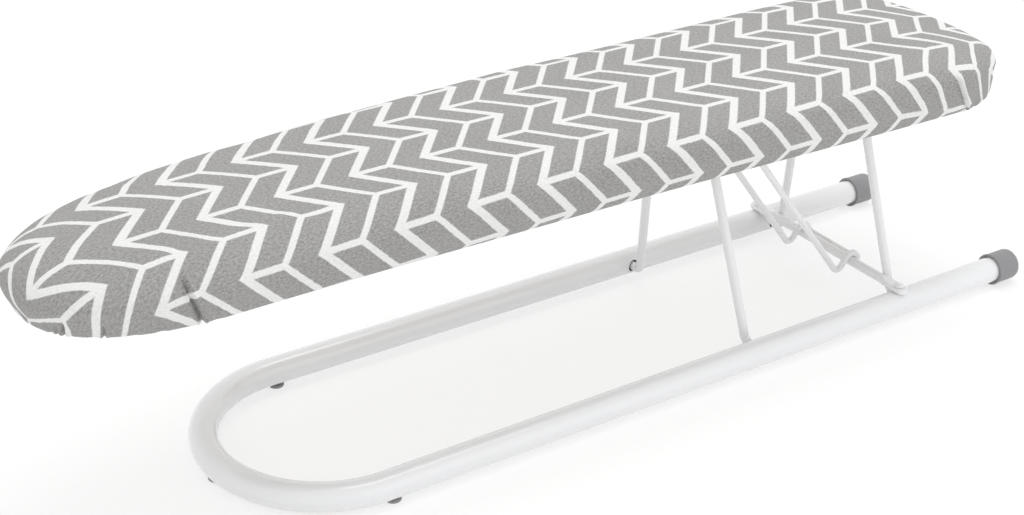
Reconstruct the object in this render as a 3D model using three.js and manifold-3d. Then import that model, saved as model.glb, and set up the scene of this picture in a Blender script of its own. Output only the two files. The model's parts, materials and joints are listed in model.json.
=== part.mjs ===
import * as THREE from 'three';
import { mergeVertices } from 'three/addons/utils/BufferGeometryUtils.js';
import Module from 'manifold-3d';

const wasm = await Module();
wasm.setup();

// A folding table-top ironing pad, in millimetres. The free nose points along -X, the capped tube ends
// point along +X, the floor is z = 0 and the origin is under the middle of the whole length.

// Fits
const touchGap = 0.3;            // between pieces that touch
const cutOverrun = 5;            // how far a cutting body passes the wall that it cuts

// Board outline, over the cover
const boardLength = 608;
const noseHalfWidth = 61.5;      // where the nose's rounding ends
const tailHalfWidth = 69.5;      // where the tail's corners begin
const sideBow = 0.8;             // how far the long sides bulge in the middle
const noseRounding = 92;         // length of the rounded nose
const tailRounding = 60;         // length of the rounded tail corners

// The padding's edge at the nose, in the middle and at the tail: how far in the crown levels off, its
// rounding, how far the elastic draws the side in at its foot, and the foam beside the core's edge
const noseEdge = { crownWidth: 44, roundWidth: 28, roundHeight: 17, drawIn: 3, foamBeside: 11 };
const middleEdge = { crownWidth: 34, roundWidth: 13, roundHeight: 9, drawIn: 4, foamBeside: 2 };
const tailEdge = { crownWidth: 34, roundWidth: 10, roundHeight: 9, drawIn: 3, foamBeside: 2 };

// How far the padding sinks towards its ends
const noseSink = 7.5;            // of the top, at the nose's tip
const noseHemSink = 4.5;         // of the hem, at the nose's tip
const noseSinkLength = 199;
const tailSink = 5;              // of the top, at the tail
const tailSinkLength = 114;

// Board layers
const coreThickness = 12;
const foamThickness = 14.5;
const fabricThickness = 1.2;
const crownDrop = 1.5;           // how much lower the cover lies at the edge's rounding than in the middle
const coreChamfer = 1;

// Hem and elastic
const hemWidth = 19;             // how far the cover reaches in under the core
const hemReturn = 8;             // width of the turned-back strip over the elastic
const elasticRadius = 1.6;
const hemCornerWidth = 5;
const hemCornerHeight = 3;

// Base tube
const baseLength = 536;          // outside of the bend to the caps' ends
const tubeGauge = 130;           // between the two tubes' axes
const tubeRadius = 8;
const tubeWall = 1.2;

// End caps
const capOverhang = 20;          // how far the caps stand out behind the board's tail
const capLength = 18.5;
const capLipRadius = 10;         // the lip stands on the floor
const capLipLength = 1.2;
const capBodyInset = 0.35;       // how much slimmer the cap is behind its lip
const capEndWall = 2.5;
const capEndRound = 2;

// Foot pads
const padRadius = 4.5;
const padChamfer = 0.5;
const padStemRadius = 1.9;
const padStemReach = 1.2;        // how far the stem stands into the tube
const padBehindBend = 4;         // the side pads lie this far behind the start of the bend

// Legs
const legWireRadius = 2.75;
const rearFootInset = 92;        // the rear leg's feet to the caps' ends
const legSpacing = 117.3;        // between the two legs, at the feet and at the board
const legRise = 124.5;           // height of the top pivots over the feet
const legLean = 18.6;            // how far the tops stand ahead of the feet
const footHalfWidth = 51;        // where a leg's side meets its foot
const topHalfWidth = 24.5;       // where a leg's side meets its top wire
const footReach = 3;             // how far the foot's end passes the tube's axis
const footBendRadius = 5;
const topBendRadius = 8;
const pivotClearance = 0.5;      // round the foot in the tube's hole

// Crossbar and its rivets
const barRadius = 3;
const barFlatThickness = 3.4;    // of the flattened ends
const barFlatHalfWidth = 4.4;
const barFlatLength = 15;
const barBlend = 6;              // length over which the bar flattens
const barEndTaper = 1.6;
const barOverhang = 6;           // how far the ends pass the tubes' axes
const rivetRadius = 1.5;
const rivetHeadRadius = 3.2;
const rivetHeadHeight = 1.6;
const rivetReach = 1;            // how far the rivet passes the tube's wall

// Stay
const stayWireRadius = 2;
const stayHalfWidth = 22.5;
const stayTopBehind = 24.3;      // its top wire behind the front leg's top wire
const stayDipForward = 11;       // the dip's corner ahead of the crossbar's axis
const stayDipDrop = 6;           // the dip's corner under the crossbar's axis
const stayDipBend = 4;
const stayTopBend = 12;
const stayCrossBend = 3.5;
const stayButtGap = 0.4;         // between the wire's ends, in the middle of the cross wire

// Clips under the core
const clipSheet = 1.2;
const clipWidth = 9;
const clipSpacing = 20;          // between a leg's two clips
const clipReach = 12.5;          // flange end to the wire's axis
const clipScrewReach = 8.6;      // screw to the wire's axis

// Catch for the stay's top wire
const catchSheet = 1.2;
const catchWidth = 20;
const catchLipForward = 7.6;     // lip's rear face ahead of the stay's top wire
const catchLipHeight = 2.9;
const catchWallHeight = 5.4;
const catchFlange = 12;          // flange behind the rear wall
const catchScrewSpacing = 12;

// Wood screws
const screwRadius = 1.6;
const screwHeadRadius = 2.9;
const screwHeadHeight = 1.8;
const screwHeadEdge = 0.7;
const screwLength = 9;
const screwPoint = 2;

// Shares and counts that carry no length
const noseExponent = 2.2;
const tailExponent = 2.8;
const noseSteps = 8;
const sideSteps = 4;
const tailSteps = 8;
const edgeSteps = 4;
const sideMidShare = 0.55;       // height of the side's middle ring between its foot and its shoulder
const drawInMidShare = 0.3;      // how much of the drawing-in has happened there
const tubeSides = 20;
const tubeBendSteps = 26;
const wireSides = 10;
const wireBendSteps = 5;
const screwSides = 10;
const elasticSides = 6;
const capSides = 24;
const arcSteps = 8;
const halfTurnShare = 0.5;

// Places that follow from the sizes
const overallLength = boardLength + capOverhang;
const noseX = -overallLength / 2;
const tailX = noseX + boardLength;
const capEndX = overallLength / 2;
const tubeAxisY = tubeGauge / 2;
const tubeAxisZ = capLipRadius;
const tubeTopZ = tubeAxisZ + tubeRadius;
const tubeBottomZ = tubeAxisZ - tubeRadius;
const tubeBoreRadius = tubeRadius - tubeWall;
const tubeEndX = capEndX - capEndWall - touchGap;
const bendCentreX = capEndX - baseLength + tubeRadius + tubeAxisY;

const rearFootX = capEndX - rearFootInset;
const frontFootX = rearFootX - legSpacing;
const legLength = Math.hypot(legRise, legLean);
const legAngle = Math.atan2(legLean, legRise);
const frontTopX = frontFootX - legLean;
const rearTopX = rearFootX - legLean;
const legTopZ = tubeAxisZ + legRise;

const coreBottomZ = legTopZ + legWireRadius + touchGap;
const coreTopZ = coreBottomZ + coreThickness;
const foamBottomZ = coreTopZ + touchGap;
const coverTopZ = foamBottomZ + foamThickness + touchGap + fabricThickness;
const foamOffset = fabricThickness + touchGap;

const hemTopZ = coreBottomZ - touchGap;
const elasticZ = hemTopZ - fabricThickness - touchGap - elasticRadius;
const hemTurn = fabricThickness + touchGap + elasticRadius;
const elasticInset = hemWidth - hemTurn;
const hemBottomZ = elasticZ - hemTurn;

const barZ = tubeTopZ + touchGap + barFlatThickness / 2;
const barStandOff = (barRadius + legWireRadius + touchGap) / Math.cos(legAngle);
const barX = rearFootX - (barZ - tubeAxisZ) * legLean / legRise - barStandOff;

const stayTopX = frontTopX + stayTopBehind;
const catchTopZ = coreBottomZ - touchGap;
const stayTopZ = catchTopZ - catchSheet - touchGap - stayWireRadius;
const hookRadius = barRadius + stayWireRadius + touchGap;

const part = new THREE.Group();
part.name = 'ironing_pad';

const whiteCoat = () => new THREE.MeshStandardMaterial({ color: 0xf3f3f3, roughness: 0.35, metalness: 0 });
const greyPlastic = () => new THREE.MeshStandardMaterial({ color: 0x919194, roughness: 0.5, metalness: 0 });
const darkPlastic = () => new THREE.MeshStandardMaterial({ color: 0x5c5c60, roughness: 0.7, metalness: 0 });
const printedCotton = () => new THREE.MeshStandardMaterial({ color: 0x979492, roughness: 0.95, metalness: 0 });
const paleFoam = () => new THREE.MeshStandardMaterial({ color: 0xe9e5da, roughness: 1, metalness: 0 });
const fibreBoard = () => new THREE.MeshStandardMaterial({ color: 0xa98a66, roughness: 0.9, metalness: 0 });
const whiteElastic = () => new THREE.MeshStandardMaterial({ color: 0xf4f4f2, roughness: 0.9, metalness: 0 });
const zincSteel = () => new THREE.MeshStandardMaterial({ color: 0xb9bcc0, roughness: 0.35, metalness: 0.9 });

// Adds one piece to the part
function addPiece(name, geometry, material) {
  const mesh = new THREE.Mesh(geometry, material);
  mesh.name = name;
  part.add(mesh);
  return mesh;
}

// Leaves a geometry only its merged corners, with its faces pointing out
function tidyGeometry(geometry) {
  const bare = geometry.clone();
  bare.deleteAttribute('normal');
  if (bare.getAttribute('uv')) {
    bare.deleteAttribute('uv');
  }
  const merged = mergeVertices(bare);
  const corners = merged.getAttribute('position');
  const index = merged.getIndex();
  const a = new THREE.Vector3();
  const b = new THREE.Vector3();
  const c = new THREE.Vector3();
  let volume = 0;
  for (let i = 0; i < index.count; i += 3) {
    a.fromBufferAttribute(corners, index.getX(i));
    b.fromBufferAttribute(corners, index.getX(i + 1));
    c.fromBufferAttribute(corners, index.getX(i + 2));
    volume += a.dot(b.cross(c));
  }
  if (volume < 0) {
    for (let i = 0; i < index.count; i += 3) {
      const second = index.getX(i + 1);
      index.setX(i + 1, index.getX(i + 2));
      index.setX(i + 2, second);
    }
  }
  merged.computeVertexNormals();
  return merged;
}

function toSolid(geometry) {
  const tidy = tidyGeometry(geometry);
  return new wasm.Manifold(new wasm.Mesh({
    numProp: 3,
    vertProperties: new Float32Array(tidy.getAttribute('position').array),
    triVerts: new Uint32Array(tidy.getIndex().array),
  }));
}

// Cuts a list of bodies out of a geometry
function cutAway(geometry, tools) {
  let solid = toSolid(geometry);
  for (const tool of tools) {
    solid = solid.subtract(toSolid(tool));
  }
  const mesh = solid.getMesh();
  const result = new THREE.BufferGeometry();
  result.setAttribute('position', new THREE.BufferAttribute(new Float32Array(mesh.vertProperties), 3));
  result.setIndex(new THREE.BufferAttribute(new Uint32Array(mesh.triVerts), 1));
  result.computeVertexNormals();
  return result;
}

// Joins rings of equal count into one closed skin, capped by strips across the first and last ring
function loft(rings, looped = false) {
  const count = rings[0].length;
  const positions = rings.flat().flatMap((point) => point.toArray());
  const index = [];
  const bands = looped ? rings.length : rings.length - 1;
  for (let ring = 0; ring < bands; ring += 1) {
    const next = (ring + 1) % rings.length;
    for (let i = 0; i < count; i += 1) {
      const j = (i + 1) % count;
      index.push(ring * count + i, ring * count + j, next * count + j);
      index.push(ring * count + i, next * count + j, next * count + i);
    }
  }
  if (!looped) {
    const last = (rings.length - 1) * count;
    for (let i = 0; i < count / 2; i += 1) {
      const across = (count - i) % count;
      const acrossNext = count - i - 1;
      if (i > 0) {
        index.push(i, across, i + 1);
        index.push(last + i, last + i + 1, last + across);
      }
      if (i + 1 !== acrossNext) {
        index.push(i + 1, across, acrossNext);
        index.push(last + i + 1, last + acrossNext, last + across);
      }
    }
  }
  const geometry = new THREE.BufferGeometry();
  geometry.setAttribute('position', new THREE.Float32BufferAttribute(positions, 3));
  geometry.setIndex(index);
  return tidyGeometry(geometry);
}

// A polyline of corners with each inner corner rounded by its bend, sampled where the shape turns
class BentPath extends THREE.Curve {
  constructor(corners, bends, bendSteps) {
    super();
    this.places = [corners[0].clone()];
    this.directions = [corners[1].clone().sub(corners[0]).normalize()];
    for (let i = 1; i < corners.length - 1; i += 1) {
      const before = corners[i].clone().sub(corners[i - 1]).normalize();
      const after = corners[i + 1].clone().sub(corners[i]).normalize();
      const turn = before.angleTo(after);
      const axis = before.clone().cross(after).normalize();
      const start = corners[i].clone().addScaledVector(before, -bends[i - 1] * Math.tan(turn / 2));
      const centre = start.clone().addScaledVector(axis.clone().cross(before), bends[i - 1]);
      for (let step = 0; step <= bendSteps; step += 1) {
        const angle = turn * step / bendSteps;
        this.places.push(start.clone().sub(centre).applyAxisAngle(axis, angle).add(centre));
        this.directions.push(before.clone().applyAxisAngle(axis, angle));
      }
    }
    this.places.push(corners.at(-1).clone());
    this.directions.push(corners.at(-1).clone().sub(corners.at(-2)).normalize());
    this.steps = this.places.length - 1;
  }

  getPointAt(share) {
    return this.places[Math.round(share * this.steps)].clone();
  }

  getTangentAt(share) {
    return this.directions[Math.round(share * this.steps)].clone();
  }
}

function circleShape(radius, sides, hole = 0) {
  const ring = (size) => Array.from({ length: sides }, (_, i) => {
    const angle = 2 * Math.PI * i / sides;
    return new THREE.Vector2(size * Math.cos(angle), size * Math.sin(angle));
  });
  const shape = new THREE.Shape(ring(radius));
  if (hole > 0) {
    shape.holes.push(new THREE.Path(ring(hole)));
  }
  return shape;
}

function bentWire(radius, corners, bends) {
  const path = new BentPath(corners, bends, wireBendSteps);
  const settings = { steps: path.steps, extrudePath: path, bevelEnabled: false };
  return tidyGeometry(new THREE.ExtrudeGeometry(circleShape(radius, wireSides), settings));
}

// A cylinder along +Y or +Z between two levels, to cut holes with
function rodAlongY(radius, x, z, fromY, toY) {
  const rod = new THREE.CylinderGeometry(radius, radius, Math.abs(toY - fromY), screwSides);
  rod.translate(x, (fromY + toY) / 2, z);
  return rod;
}

function rodAlongZ(radius, x, y, fromZ, toZ) {
  const rod = new THREE.CylinderGeometry(radius, radius, Math.abs(toZ - fromZ), screwSides);
  rod.rotateX(Math.PI / 2);
  rod.translate(x, y, (fromZ + toZ) / 2);
  return rod;
}

// A turned piece about the z axis, from profile points that start and end on the axis
function turned(profile, sides) {
  const points = profile.map(([radius, height]) => new THREE.Vector2(radius, height));
  const lathe = new THREE.LatheGeometry(points, sides);
  lathe.rotateX(Math.PI / 2);
  return tidyGeometry(lathe);
}

// Board outline
const noseEndX = noseX + noseRounding;
const tailStartX = tailX - tailRounding;

function halfWidthAt(x) {
  const along = (x - noseEndX) / (tailStartX - noseEndX);
  const bow = Math.sin(Math.PI * THREE.MathUtils.clamp(along, 0, 1));
  return THREE.MathUtils.lerp(noseHalfWidth, tailHalfWidth, along) + sideBow * bow;
}

// A corner of the section, [inset, height], at a place along the board
function cornerAt([nose, middle, tail], x) {
  const along = THREE.MathUtils.clamp((x - noseEndX) / (tailStartX - noseEndX), 0, 1) * 2;
  const [from, to] = along < 1 ? [nose, middle] : [middle, tail];
  return from.map((size, i) => THREE.MathUtils.lerp(size, to[i], along < 1 ? along : along - 1));
}

// One side of the outline from the nose's tip to the tail's middle, drawn in at a corner of the section
function outlineSide(corner) {
  const side = [];
  for (let i = 0; i < noseSteps; i += 1) {
    const angle = (i / noseSteps) * Math.PI / 2;
    const [inset, height] = cornerAt(corner, noseEndX);
    const x = noseEndX - (noseRounding - inset) * Math.cos(angle) ** (2 / noseExponent);
    side.push([x, (halfWidthAt(x) - inset) * Math.sin(angle) ** (2 / noseExponent), height]);
  }
  for (let i = 0; i < sideSteps; i += 1) {
    const x = THREE.MathUtils.lerp(noseEndX, tailStartX, i / sideSteps);
    const [inset, height] = cornerAt(corner, x);
    side.push([x, halfWidthAt(x) - inset, height]);
  }
  const [inset, height] = cornerAt(corner, tailStartX);
  for (let i = 0; i < tailSteps; i += 1) {
    const angle = (i / tailSteps) * Math.PI / 2;
    const x = tailStartX + (tailRounding - inset) * Math.sin(angle) ** (2 / tailExponent);
    side.push([x, (halfWidthAt(x) - inset) * Math.cos(angle) ** (2 / tailExponent), height]);
  }
  side.push([tailX - inset, 0, height]);
  return side;
}

// How much lower the padding lies at a place than it would on a flat board
function sinkAt(x, height) {
  const up = (height - hemBottomZ) / (coverTopZ - hemBottomZ);
  const toNose = Math.max(0, noseSinkLength - (x - noseX)) / noseSinkLength;
  const toTail = Math.max(0, tailSinkLength - (tailX - x)) / tailSinkLength;
  return THREE.MathUtils.lerp(noseHemSink, noseSink, up) * toNose ** 2 + tailSink * up * toTail ** 2;
}

// The rings of a section that is given at an edge of the padding
function ringsOf(sectionAt, sinks) {
  const [nose, middle, tail] = [noseEdge, middleEdge, tailEdge].map(sectionAt);
  return nose.map((_, corner) => {
    const side = outlineSide([nose[corner], middle[corner], tail[corner]]);
    const mirrored = side.slice(1, -1).reverse().map(([x, y, z]) => [x, -y, z]);
    return [...side, ...mirrored].map(([x, y, z]) => new THREE.Vector3(x, y, sinks ? z - sinkAt(x, z) : z));
  });
}

// The padding's section from its crown to the foot of its side, at a distance inside the cover's face
function crownAndSide(edge, offset, footZ) {
  const shoulderZ = coverTopZ - crownDrop - edge.roundHeight;
  const section = [[edge.crownWidth, coverTopZ - offset]];
  for (let i = 0; i <= edgeSteps; i += 1) {
    const angle = (1 - i / edgeSteps) * Math.PI / 2;
    section.push([
      edge.roundWidth - (edge.roundWidth - offset) * Math.cos(angle),
      shoulderZ + (edge.roundHeight - offset) * Math.sin(angle),
    ]);
  }
  section.push([offset + edge.drawIn * drawInMidShare, THREE.MathUtils.lerp(footZ, shoulderZ, sideMidShare)]);
  section.push([offset + edge.drawIn, footZ]);
  return section;
}

function coreInset(edge) {
  return foamOffset + edge.drawIn + edge.foamBeside + touchGap;
}

function coverSection(edge) {
  const half = Math.SQRT1_2;
  const inner = elasticRadius + touchGap;
  const footZ = hemBottomZ + hemCornerHeight + hemTurn;
  return [
    ...crownAndSide(edge, 0, footZ),
    [edge.drawIn + hemCornerWidth * (1 - half), hemBottomZ + hemCornerHeight * (1 - half)],
    [edge.drawIn + hemCornerWidth, hemBottomZ],
    [elasticInset, hemBottomZ],
    [elasticInset + hemTurn * half, elasticZ - hemTurn * half],
    [hemWidth, elasticZ],
    [elasticInset + hemTurn * half, elasticZ + hemTurn * half],
    [elasticInset, hemTopZ],
    [elasticInset - hemReturn, hemTopZ],
    [elasticInset - hemReturn, hemTopZ - fabricThickness],
    [elasticInset, elasticZ + inner],
    [elasticInset + inner * half, elasticZ + inner * half],
    [elasticInset + inner, elasticZ],
    [elasticInset + inner * half, elasticZ - inner * half],
    [elasticInset, elasticZ - inner],
    [edge.drawIn + hemCornerWidth, hemBottomZ + fabricThickness],
    ...crownAndSide(edge, fabricThickness, footZ).reverse(),
  ];
}

function elasticSection() {
  return Array.from({ length: elasticSides }, (_, i) => {
    const angle = 2 * Math.PI * i / elasticSides;
    return [elasticInset + elasticRadius * Math.cos(angle), elasticZ + elasticRadius * Math.sin(angle)];
  });
}

function makeCover() {
  addPiece('fabric_cover', loft(ringsOf(coverSection, true)), printedCotton());
}

function makeElastic() {
  addPiece('hem_elastic', loft(ringsOf(elasticSection, true), true), whiteElastic());
}

// The foam lies on the core and hangs down beside its edge
function makeFoam() {
  const foot = (edge) => coreInset(edge) - touchGap;
  const outside = ringsOf((edge) => [
    ...crownAndSide(edge, foamOffset, coreBottomZ),
    [foot(edge), coreBottomZ],
  ], true);
  const onCore = ringsOf((edge) => [
    [foot(edge), foamBottomZ],
    [edge.crownWidth, foamBottomZ],
  ], false);
  addPiece('foam_pad', loft([...outside, ...onCore]), paleFoam());
}

// Where the screws stand, under the core
const clipCentres = [];
for (const [row, topX] of [['front', frontTopX], ['rear', rearTopX]]) {
  for (const [side, y] of [['near', -clipSpacing / 2], ['far', clipSpacing / 2]]) {
    clipCentres.push({ name: `${row}_clip_${side}`, x: topX, y });
  }
}
const clipScrews = [];
for (const clip of clipCentres) {
  clipScrews.push({ name: `${clip.name}_screw_nose`, x: clip.x - clipScrewReach, y: clip.y });
  clipScrews.push({ name: `${clip.name}_screw_tail`, x: clip.x + clipScrewReach, y: clip.y });
}
const catchWallX = stayTopX + stayWireRadius + touchGap;
const catchScrewX = catchWallX + catchSheet + catchFlange / 2;
const catchScrews = [
  { name: 'catch_screw_near', x: catchScrewX, y: -catchScrewSpacing / 2 },
  { name: 'catch_screw_far', x: catchScrewX, y: catchScrewSpacing / 2 },
];

function coreSection(edge) {
  return [
    [edge.crownWidth, coreTopZ],
    [coreInset(edge) + coreChamfer, coreTopZ],
    [coreInset(edge), coreTopZ - coreChamfer],
    [coreInset(edge), coreBottomZ + coreChamfer],
    [coreInset(edge) + coreChamfer, coreBottomZ],
    [edge.crownWidth, coreBottomZ],
  ];
}

function makeCore() {
  const pilots = [...clipScrews, ...catchScrews].map(({ x, y }) => (
    rodAlongZ(screwRadius + touchGap, x, y, coreBottomZ - cutOverrun, coreBottomZ + screwLength)
  ));
  addPiece('board_core', cutAway(loft(ringsOf(coreSection, false)), pilots), fibreBoard());
}

// A wood screw whose head bears up against a sheet's underside
function makeScrew({ name, x, y }, seatZ) {
  const tip = coreBottomZ + screwLength - touchGap - seatZ;
  const profile = [
    [0, -screwHeadHeight],
    [screwHeadRadius - screwHeadEdge, -screwHeadHeight],
    [screwHeadRadius, -screwHeadHeight + screwHeadEdge],
    [screwHeadRadius, 0],
    [screwRadius, 0],
    [screwRadius, tip - screwPoint],
    [0, tip],
  ];
  addPiece(name, turned(profile, screwSides), zincSteel()).position.set(x, y, seatZ);
}

// A sheet profile in the x and z plane, made into a piece of some width along y
function sheetAcross(shape, width) {
  const sheet = new THREE.ExtrudeGeometry(shape, { depth: width, bevelEnabled: false, curveSegments: arcSteps });
  sheet.rotateX(Math.PI / 2);
  sheet.translate(0, width / 2, 0);
  return sheet;
}

function makeClip({ name, x, y }) {
  const top = legWireRadius;
  const low = top - clipSheet;
  const inner = legWireRadius + touchGap;
  const outer = inner + clipSheet;
  const shape = new THREE.Shape();
  shape.moveTo(-clipReach, top);
  shape.lineTo(-inner, top);
  shape.lineTo(-inner, 0);
  shape.absarc(0, 0, inner, Math.PI, 2 * Math.PI, false);
  shape.lineTo(inner, top);
  shape.lineTo(clipReach, top);
  shape.lineTo(clipReach, low);
  shape.lineTo(outer, low);
  shape.lineTo(outer, 0);
  shape.absarc(0, 0, outer, 0, -Math.PI, true);
  shape.lineTo(-outer, low);
  shape.lineTo(-clipReach, low);
  shape.closePath();
  const holes = [-clipScrewReach, clipScrewReach].map((holeX) => (
    rodAlongZ(screwRadius + touchGap, holeX, 0, low - cutOverrun, top + cutOverrun)
  ));
  addPiece(name, cutAway(sheetAcross(shape, clipWidth), holes), zincSteel()).position.set(x, y, legTopZ);
}

function makeCatch() {
  const low = -catchSheet;
  const lipX = -catchLipForward;
  const wallX = catchWallX - stayTopX;
  const shape = new THREE.Shape();
  shape.moveTo(lipX - catchSheet, 0);
  shape.lineTo(wallX + catchSheet + catchFlange, 0);
  shape.lineTo(wallX + catchSheet + catchFlange, low);
  shape.lineTo(wallX + catchSheet, low);
  shape.lineTo(wallX + catchSheet, low - catchWallHeight);
  shape.lineTo(wallX, low - catchWallHeight);
  shape.lineTo(wallX, low);
  shape.lineTo(lipX, low);
  shape.lineTo(lipX, low - catchLipHeight);
  shape.lineTo(lipX - catchSheet, low - catchLipHeight);
  shape.closePath();
  const holes = catchScrews.map((screw) => (
    rodAlongZ(screwRadius + touchGap, screw.x - stayTopX, screw.y, low - cutOverrun, cutOverrun)
  ));
  const catchPiece = addPiece('stay_catch', cutAway(sheetAcross(shape, catchWidth), holes), zincSteel());
  catchPiece.position.set(stayTopX, 0, catchTopZ);
}

// The feet of the base, under the bend
const padPlaces = [
  { name: 'foot_pad_nose', x: bendCentreX - tubeAxisY, y: 0 },
  { name: 'foot_pad_near', x: bendCentreX + padBehindBend, y: -tubeAxisY },
  { name: 'foot_pad_far', x: bendCentreX + padBehindBend, y: tubeAxisY },
];

function makeBaseTube() {
  const bend = tubeAxisY;
  const corners = [
    new THREE.Vector3(tubeEndX, -tubeAxisY, tubeAxisZ),
    new THREE.Vector3(bendCentreX - bend, -tubeAxisY, tubeAxisZ),
    new THREE.Vector3(bendCentreX - bend, tubeAxisY, tubeAxisZ),
    new THREE.Vector3(tubeEndX, tubeAxisY, tubeAxisZ),
  ];
  const path = new BentPath(corners, [bend, bend], tubeBendSteps * halfTurnShare);
  const tube = new THREE.ExtrudeGeometry(circleShape(tubeRadius, tubeSides, tubeBoreRadius), {
    steps: path.steps,
    extrudePath: path,
    bevelEnabled: false,
  });
  const holes = [];
  for (const side of [-1, 1]) {
    const innerWallY = side * (tubeAxisY - tubeRadius);
    for (const footX of [frontFootX, rearFootX]) {
      const radius = legWireRadius + pivotClearance;
      holes.push(rodAlongY(radius, footX, tubeAxisZ, innerWallY - side * cutOverrun, side * tubeAxisY));
    }
    const rivetHole = rivetRadius + touchGap;
    holes.push(rodAlongZ(rivetHole, barX, side * tubeAxisY, tubeAxisZ, tubeTopZ + cutOverrun));
  }
  for (const pad of padPlaces) {
    const radius = padStemRadius + touchGap;
    holes.push(rodAlongZ(radius, pad.x, pad.y, tubeBottomZ - cutOverrun, tubeAxisZ));
  }
  addPiece('base_tube', cutAway(tube, holes), whiteCoat());
}

function makePad({ name, x, y }) {
  const top = tubeBottomZ - touchGap;
  const profile = [
    [0, 0],
    [padRadius - padChamfer, 0],
    [padRadius, padChamfer],
    [padRadius, top],
    [padStemRadius, top],
    [padStemRadius, tubeBottomZ + tubeWall + padStemReach],
    [0, tubeBottomZ + tubeWall + padStemReach],
  ];
  addPiece(name, turned(profile, capSides), darkPlastic()).position.set(x, y, 0);
}

function makeCap(name, y) {
  const body = capLipRadius - capBodyInset;
  const bore = tubeRadius + touchGap;
  const profile = [
    [0, 0],
    [body - capEndRound, 0],
    [body - capEndRound * (1 - Math.SQRT1_2), capEndRound * (1 - Math.SQRT1_2)],
    [body, capEndRound],
    [body, capLength - capLipLength],
    [capLipRadius, capLength - capLipLength],
    [capLipRadius, capLength],
    [bore, capLength],
    [bore, capEndWall],
    [0, capEndWall],
  ];
  const cap = addPiece(name, turned(profile, capSides), greyPlastic());
  cap.rotation.y = -Math.PI / 2;
  cap.position.set(capEndX, y, tubeAxisZ);
}

// A wire bail with its feet turned out, standing in the tubes' holes and leaning to the nose
function makeLeg(name, footX) {
  const footEnd = tubeAxisY + footReach;
  const corners = [
    new THREE.Vector3(0, -footEnd, 0),
    new THREE.Vector3(0, -footHalfWidth, 0),
    new THREE.Vector3(0, -topHalfWidth, legLength),
    new THREE.Vector3(0, topHalfWidth, legLength),
    new THREE.Vector3(0, footHalfWidth, 0),
    new THREE.Vector3(0, footEnd, 0),
  ];
  const bends = [footBendRadius, topBendRadius, topBendRadius, footBendRadius];
  const leg = addPiece(name, bentWire(legWireRadius, corners, bends), whiteCoat());
  leg.rotation.y = -legAngle;
  leg.position.set(footX, 0, tubeAxisZ);
}

// A round bar lying over both tubes, pressed flat where it is riveted
function makeCrossbar() {
  const endY = tubeAxisY + barOverhang;
  const flatY = endY - barFlatLength;
  const stations = [
    [endY, barFlatHalfWidth - barEndTaper, barFlatThickness / 2],
    [endY - barEndTaper, barFlatHalfWidth, barFlatThickness / 2],
    [flatY, barFlatHalfWidth, barFlatThickness / 2],
    [flatY - barBlend, barRadius, barRadius],
  ];
  const mirrored = stations.map(([y, wide, high]) => [-y, wide, high]).reverse();
  const rings = [...stations, ...mirrored].map(([y, wide, high]) => (
    circleShape(1, wireSides).getPoints().slice(0, wireSides).map((point) => (
      new THREE.Vector3(barX + wide * point.x, y, barZ + high * point.y)
    ))
  ));
  const holes = [-tubeAxisY, tubeAxisY].map((y) => (
    rodAlongZ(rivetRadius + touchGap, barX, y, barZ - cutOverrun, barZ + cutOverrun)
  ));
  addPiece('crossbar', cutAway(loft(rings), holes), whiteCoat());
}

function makeRivet(name, y) {
  const seatZ = barZ + barFlatThickness / 2 + touchGap;
  const foot = tubeTopZ - tubeWall - rivetReach - seatZ;
  const half = Math.SQRT1_2;
  const profile = [
    [0, foot],
    [rivetRadius, foot],
    [rivetRadius, 0],
    [rivetHeadRadius, 0],
    [rivetHeadRadius * half, rivetHeadHeight * half],
    [0, rivetHeadHeight],
  ];
  addPiece(name, turned(profile, screwSides), whiteCoat()).position.set(barX, y, seatZ);
}

// One wire: a cross wire behind the bar, a hook over it at each side, a dip, and the slanted bail
function makeStay() {
  const dip = new THREE.Vector2(-stayDipForward, -stayDipDrop);
  const toBar = Math.atan2(stayDipDrop, stayDipForward);
  const rise = toBar + Math.asin(hookRadius / dip.length());
  const overX = dip.x + (hookRadius - dip.y) / Math.tan(rise);
  const side = (sign) => [
    new THREE.Vector3(barX + hookRadius, sign * stayButtGap / 2, barZ),
    new THREE.Vector3(barX + hookRadius, sign * stayHalfWidth, barZ),
    new THREE.Vector3(barX + hookRadius, sign * stayHalfWidth, barZ + hookRadius),
    new THREE.Vector3(barX + overX, sign * stayHalfWidth, barZ + hookRadius),
    new THREE.Vector3(barX + dip.x, sign * stayHalfWidth, barZ + dip.y),
    new THREE.Vector3(stayTopX, sign * stayHalfWidth, stayTopZ),
  ];
  const corners = [...side(-1), ...side(1).reverse()];
  const sideBends = [stayCrossBend / 2, hookRadius, hookRadius, stayDipBend, stayTopBend];
  const bends = [...sideBends, ...sideBends.slice().reverse()];
  addPiece('stay_wire', bentWire(stayWireRadius, corners, bends), whiteCoat());
}

makeBaseTube();
makeCap('end_cap_near', -tubeAxisY);
makeCap('end_cap_far', tubeAxisY);
padPlaces.forEach(makePad);
makeCrossbar();
makeRivet('crossbar_rivet_near', -tubeAxisY);
makeRivet('crossbar_rivet_far', tubeAxisY);
makeLeg('front_leg', frontFootX);
makeLeg('rear_leg', rearFootX);
makeStay();
makeCore();
makeFoam();
makeCover();
makeElastic();
clipCentres.forEach(makeClip);
clipScrews.forEach((screw) => makeScrew(screw, legTopZ + legWireRadius - clipSheet - touchGap));
makeCatch();
catchScrews.forEach((screw) => makeScrew(screw, catchTopZ - catchSheet - touchGap));

export default part;
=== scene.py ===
import json
import math
import bpy
import bmesh
from mathutils import Matrix, Vector


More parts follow.
